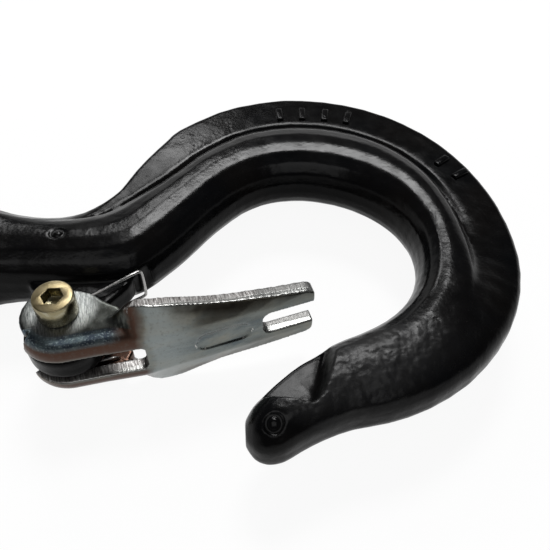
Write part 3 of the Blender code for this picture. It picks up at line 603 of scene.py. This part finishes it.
def relaxed(piece, rounds):
    ease = piece.modifiers.new("ease", "SMOOTH")
    ease.factor = 0.5
    ease.iterations = rounds
    return baked(piece)


def smoothstep(low, high, value):
    t = min(1.0, max(0.0, (value - low) / (high - low)))
    return t * t * (3.0 - 2.0 * t)


# %% [markdown]
# ## The forging
#
# Real forgings have no hard inside corners: metal flowed into the die.  A voxel remesh
# turns the CAD solid into an even skin, and a little smoothing melts the clevis, neck
# and lug together.  The groove between the bead and the flange is smoothed further, because
# its corner is round on the real forging.  Then soft noise pushes the skin about for the
# lumps.  Round the pivot, where the lug is machined, it stays flat.

# %% Lumps and the groove
def lumps(co):
    """How far the skin stands out at a place: wide swells and, here and there, fine grain."""
    coarse = noise.noise(co / (8.5 * MM))
    middling = noise.noise(co / (3.3 * MM) + Vector((7.3, 1.9, 4.4)))
    fine = noise.noise(co / (1.9 * MM) + Vector((2.1, 8.4, 5.5)))
    worn = smoothstep(-0.10, 0.25, noise.noise(co / (21.0 * MM) + Vector((3.7, 5.2, 9.1))))
    return (0.11 * coarse + 0.04 * middling + 0.018 * worn * fine) * MM


def in_groove(co):
    """Between the round bead and the flat flange, and where that groove runs out."""
    x, y = (co.x - bowl_middle.x) / MM, (co.y - bowl_middle.y) / MM
    angle = math.degrees(math.atan2(y, x))
    high = abs(co.z - pivot.z) / MM
    if angle > 12.0:
        return angle < 165.0 and 36.0 < math.hypot(x, y) < 49.5 and high < 5.2
    return angle > -40.0 and 34.0 < math.hypot(x, y) < 48.0 and high < 7.5


# %% Forged skin
hook_voxel = 0.44 * MM
groove_rounds = 14
skin_sink = 0.10 * MM          # keeps the lumps inside the solid's outline


def forged_skin():
    piece = relaxed(remeshed(welded_copy("hook_body", "forged_hook"), hook_voxel), 7)
    bm = bmesh.new()
    bm.from_mesh(piece.data)
    groove = [vert for vert in bm.verts if in_groove(vert.co)]
    for _ in range(groove_rounds):
        bmesh.ops.smooth_vert(bm, verts=groove, factor=0.5, use_axis_x=True, use_axis_y=True,
                              use_axis_z=True)
    bm.normal_update()
    for vert in bm.verts:
        from_axis = math.hypot(vert.co.x - pivot.x, vert.co.y - pivot.y)
        forged = smoothstep(10.5 * MM, 12.5 * MM, from_axis)
        vert.co += vert.normal * (lumps(vert.co) - skin_sink) * forged
    bm.to_mesh(piece.data)
    bm.free()
    piece.data.materials.append(paint)
    piece.data.shade_smooth()
    return piece


hook = forged_skin()
print("forged skin:", len(hook.data.polygons), "faces")


# %% [markdown]
# ## Forging dots
#
# A round dot stands in a shallow dimple on the neck and another on the tip, on both
# sides.  They come from the die, so they belong to the skin.  The skin round each dot is
# cut finer; a plane is fitted to the ring around it, and the vertices inside are set to
# that plane plus the profile of a dimple and a low dome.

# %% Coined dots
dot_spots = [from_pivot(-5.5, 22.7, 0.0), from_pivot(44.6, -23.0, 0.0)]
dot_reach = 2.3 * MM


def dot_profile(r):
    """Height over the skin at a distance from the dot's middle: a dome in a dimple."""
    dome = 0.36 * MM * (1.0 - smoothstep(0.3 * MM, 1.4 * MM, r))
    inner = smoothstep(0.8 * MM, 1.4 * MM, r)
    outer = 1.0 - smoothstep(1.4 * MM, 2.2 * MM, r)
    return dome - 0.13 * MM * inner * outer


def plane_through(points):
    """Least squares plane z = a + b x + c y."""
    rows = Matrix(((0, 0, 0), (0, 0, 0), (0, 0, 0)))
    right = Vector((0, 0, 0))
    for x, y, z in points:
        base = (1.0, x, y)
        for i in range(3):
            right[i] += base[i] * z
            for j in range(3):
                rows[i][j] += base[i] * base[j]
    return rows.inverted() @ right


def coin_dot(bm, spot, side):
    def away(vert):
        return math.hypot(vert.co.x - spot.x, vert.co.y - spot.y)

    def on_side(vert):
        return (vert.co.z - pivot.z) * side > 3.0 * MM

    edges = [edge for edge in bm.edges
             if all(on_side(v) and away(v) < dot_reach for v in edge.verts)]
    bmesh.ops.subdivide_edges(bm, edges=edges, cuts=2, use_grid_fill=True)
    ring = [((v.co.x - spot.x) / MM, (v.co.y - spot.y) / MM, v.co.z / MM) for v in bm.verts
            if on_side(v) and dot_reach < away(v) < dot_reach + 0.8 * MM]
    a, b, c = plane_through(ring)
    for vert in bm.verts:
        r = away(vert)
        if on_side(vert) and r < dot_reach:
            x, y = (vert.co.x - spot.x) / MM, (vert.co.y - spot.y) / MM
            bulge = 0.022 * (1.0 - (r / dot_reach) ** 2)
            target = (a + b * x + c * y + side * bulge) * MM + side * dot_profile(r)
            hold = 1.0 - smoothstep(1.7 * MM, dot_reach, r)
            vert.co.z = vert.co.z * (1.0 - hold) + target * hold


bm = bmesh.new()
bm.from_mesh(hook.data)
for spot in dot_spots:
    for side in (1, -1):
        coin_dot(bm, spot, side)
bm.normal_update()
for face in bm.faces:
    face.smooth = True
bm.to_mesh(hook.data)
bm.free()
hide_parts("hook_body")
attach(hook, "hook")
print("forged hook:", len(hook.data.polygons), "faces")


# %% [markdown]
# ## Raised tally bars
#
# A forging die often leaves plain raised bars on the flat flange.  Each bar is a cube,
# stretched, rounded with a bevel, and turned so that it points at the bowl's middle.

# %% Tally bars
bar_width = 1.8 * MM
bar_height = 1.3 * MM          # half of it is sunk in the flange
bar_rounding = 0.36 * MM
flange_half = 4.3 * MM         # half the thickness of the flange


def tally_bar(angle, radius, length):
    """One bar: a cube, stretched, every edge rounded, then set on the flange."""
    bm = bmesh.new()
    bmesh.ops.create_cube(bm, size=1.0)
    bmesh.ops.scale(bm, vec=(length, bar_width, bar_height), verts=bm.verts[:])
    bmesh.ops.bevel(bm, geom=bm.edges[:], offset=bar_rounding, segments=3, profile=0.5,
                    affect="EDGES", material=-1, offset_type="OFFSET")
    a = math.radians(angle)
    spot = bowl_middle + Vector((math.cos(a), math.sin(a), 0.0)) * radius
    spot.z += flange_half
    bmesh.ops.transform(bm, matrix=Matrix.Translation(spot) @ Matrix.Rotation(a, 4, "Z"),
                        verts=bm.verts[:])
    mesh = bpy.data.meshes.new("bar")
    bm.to_mesh(mesh)
    bm.free()
    return mesh


def tally_bars():
    places = [(angle, 52.7 * MM, 5.0 * MM) for angle in (97.0, 90.0, 83.0, 76.0)]
    places += [(angle, 49.4 * MM, 4.6 * MM) for angle in (42.0, 34.5)]
    bm = bmesh.new()
    for place in places:
        bar = tally_bar(*place)
        bm.from_mesh(bar)
        bpy.data.meshes.remove(bar)
    mesh = bpy.data.meshes.new("tally_bars")
    bm.to_mesh(mesh)
    bm.free()
    mesh.materials.append(paint)
    mesh.shade_smooth()
    piece = bpy.data.objects.new("tally_bars", mesh)
    bpy.context.scene.collection.objects.link(piece)
    return piece


bars = tally_bars()
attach(bars, "hook")
print("tally bars:", len(bars.data.polygons), "faces")

# %% [markdown]
# ## The latch
#
# The latch is one pressing: two ears, a flat web that widens to a shoulder, and a fork
# at its end.  The same remesh gives its sheet softly broken edges.  A shallow pad was
# coined into the web, so the outer face sinks there by about half a millimetre.  The faces
# that the press cut get the edge finish.

# %% Pad and cut faces
pad_from = 25.6 * MM          # distances along the web from the pivot
pad_to = 39.0 * MM
pad_half = 3.1 * MM
pad_sink = 0.45 * MM


def pad_depth(s, z):
    """Depth of the coined pad: crisp along its lower edge, fading out at the upper one."""
    first = pad_from + pad_half
    last = pad_to - pad_half
    away = math.hypot(s - min(last, max(first, s)), z)
    soft = 0.3 * MM if z < 0.0 else 1.4 * MM
    return pad_sink * (1.0 - smoothstep(pad_half - soft, pad_half, away))


def is_cut(normal, s, z):
    """Faces that the press cut: the web's sides and end, and both slots."""
    up = abs(normal.z)
    if s > 13.0 * MM:
        return up > 0.80 or abs(normal.dot(along_web)) > 0.72
    return up > 0.75 and abs(z) < 4.3 * MM


# %% Pressed latch
latch_voxel = 0.27 * MM


def pressed_latch():
    piece = relaxed(remeshed(welded_copy("latch", "pressed_latch"), latch_voxel), 2)
    mesh = piece.data
    mesh.materials.append(latch_zinc)
    mesh.materials.append(edge_zinc)
    bm = bmesh.new()
    bm.from_mesh(mesh)
    bm.normal_update()
    for vert in bm.verts:
        away = vert.co - pivot
        s = away.dot(along_web)
        if vert.normal.dot(below_web) > 0.8 and s > 18.0 * MM:
            vert.co -= below_web * pad_depth(s, away.z)
    bm.normal_update()
    for face in bm.faces:
        face.smooth = True
        away = face.calc_center_median() - pivot
        if is_cut(face.normal, away.dot(along_web), away.z):
            face.material_index = 1
    bm.to_mesh(mesh)
    bm.free()
    return piece


latch = pressed_latch()
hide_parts("latch")
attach(latch, "latch")
print("pressed latch:", len(latch.data.polygons), "faces")


# %% [markdown]
# ## Screw, nut and washers
#
# Small turned pieces keep their CAD shape, but a crisp edge without any width never
# catches light.  A narrow bevel on every sharp edge does, and smooth shading between
# sharp edges makes the round faces round.

# %% Turned pieces
def turned_piece(node, name, finish, edge, body):
    piece = welded_copy(node, name)
    piece.data.materials.append(finish)
    rim = piece.modifiers.new("rim", "BEVEL")
    rim.width = edge
    rim.segments = 2
    rim.limit_method = "ANGLE"
    rim.angle_limit = math.radians(32.0)
    rim.harden_normals = False
    baked(piece)
    piece.data.shade_smooth()
    piece.data.set_sharp_from_angle(angle=math.radians(42.0))
    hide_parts(node)
    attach(piece, body)
    print(name, len(piece.data.polygons), "faces")


turned_piece("latch_screw", "pivot_screw", gold, 0.12 * MM, "hook")
turned_piece("latch_nut", "lock_nut", gold, 0.10 * MM, "hook")
turned_piece("latch_washer", "nut_washer", gold, 0.05 * MM, "hook")
turned_piece("nut_ring", "nylon_ring", nylon, 0.05 * MM, "hook")
turned_piece("pivot_sleeve", "sleeve", wire, 0.05 * MM, "hook")
turned_piece("load_pin", "clevis_pin", pin_zinc, 0.25 * MM, "load_pin")
turned_piece("pin_washer", "clevis_washer", pin_zinc, 0.08 * MM, "load_pin")


# %% [markdown]
# ## Wire pieces
#
# The spring and the split pin are bent wire. Their CAD tubes already follow the bends,
# so a welded copy with one level of subdivision rounds them.

# %% Spring and split pin
def wire_piece(node, name):
    piece = welded_copy(node, name)
    piece.data.materials.append(wire)
    fine = piece.modifiers.new("fine", "SUBSURF")
    fine.levels = 1
    fine.render_levels = 1
    baked(piece)
    piece.data.shade_smooth()
    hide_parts(node)
    print(name, len(piece.data.polygons), "faces")
    return piece


spring = wire_piece("latch_spring", "latch_wire")
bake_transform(spring)
split_pin = wire_piece("cotter_pin", "split_pin")
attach(split_pin, "load_pin")


# %% [markdown]
# ## Floor
#
# The background is a pale floor that the camera sees as white, with a soft shadow left in
# it.  A Light Path node tells who looks: for the camera, and for the mirror rays of paint
# and plating, most of the floor is a plain glow, and the rest is matt and takes the shadow.
# For every other ray the floor is just matt.

# %% Floor
def floor_finish():
    finish = bpy.data.materials.new("pale_floor")
    finish.use_nodes = True
    tree = finish.node_tree
    tree.nodes.clear()
    matt = tree.nodes.new("ShaderNodeBsdfDiffuse")
    matt.inputs["Color"].default_value = (0.86, 0.86, 0.86, 1.0)
    glow = tree.nodes.new("ShaderNodeEmission")
    glow.inputs["Strength"].default_value = 1.05
    path = tree.nodes.new("ShaderNodeLightPath").outputs
    seen = maths(tree, "MAXIMUM", path["Is Camera Ray"], path["Is Glossy Ray"])
    seen = maths(tree, "MAXIMUM", seen, path["Is Transmission Ray"])
    both = tree.nodes.new("ShaderNodeMixShader")
    tree.links.new(maths(tree, "MULTIPLY", seen, 0.88), both.inputs["Fac"])
    tree.links.new(matt.outputs[0], both.inputs[1])
    tree.links.new(glow.outputs[0], both.inputs[2])
    out = tree.nodes.new("ShaderNodeOutputMaterial")
    tree.links.new(both.outputs[0], out.inputs["Surface"])
    return finish


def add_floor():
    bm = bmesh.new()
    bmesh.ops.create_grid(bm, x_segments=1, y_segments=1, size=2.0)
    mesh = bpy.data.meshes.new("floor")
    bm.to_mesh(mesh)
    bm.free()
    mesh.materials.append(floor_finish())
    floor = bpy.data.objects.new("floor", mesh)
    floor.location.z = -0.2 * MM        # just clear of the hook
    bpy.context.scene.collection.objects.link(floor)


add_floor()
print("floor laid")


# %% [markdown]
# ## Sky and lamps
#
# A black glossy thing is drawn by what it mirrors.  One soft box behind the hook draws the
# bright line along the bead, a small one at the left lights the flange, and a broad weak
# one in front fills the latch.  The sky stays dim overhead, so that the paint reads as
# black, and is bright only near the horizon.

# %% Sky
def add_sky():
    world = bpy.data.worlds.new("studio")
    bpy.context.scene.world = world
    world.use_nodes = True
    tree = world.node_tree
    place = tree.nodes.new("ShaderNodeTexCoord")
    split = tree.nodes.new("ShaderNodeSeparateXYZ")
    tree.links.new(place.outputs["Generated"], split.inputs[0])
    sky = ramp_of(tree, split.outputs["Z"], [(0.20, (0.70, 0.70, 0.70)),
                                             (0.36, (0.10, 0.10, 0.105)),
                                             (1.00, (0.08, 0.08, 0.085))])
    tree.links.new(sky, tree.nodes["Background"].inputs["Color"])


add_sky()
print("sky set")


# %% Lamps
def add_softbox(name, away, width, depth, power):
    """A soft box at a distance from the bowl's middle, in metres, turned to face it."""
    data = bpy.data.lights.new(name, "AREA")
    data.shape = "RECTANGLE"
    data.size = width
    data.size_y = depth
    data.energy = power
    lamp = bpy.data.objects.new(name, data)
    lamp.location = bowl_middle + Vector(away)
    lamp.rotation_euler = (-Vector(away)).to_track_quat("-Z", "Y").to_euler()
    bpy.context.scene.collection.objects.link(lamp)


add_softbox("back_box", (0.035, 0.39, 0.64), 0.24, 0.19, 2.7)
add_softbox("left_box", (-0.165, 0.55, 0.482), 0.16, 0.16, 0.7)
add_softbox("front_box", (0.0, -0.425, 0.736), 0.70, 0.50, 1.1)
bpy.context.scene.view_settings.view_transform = "Standard"
print("lamps set")
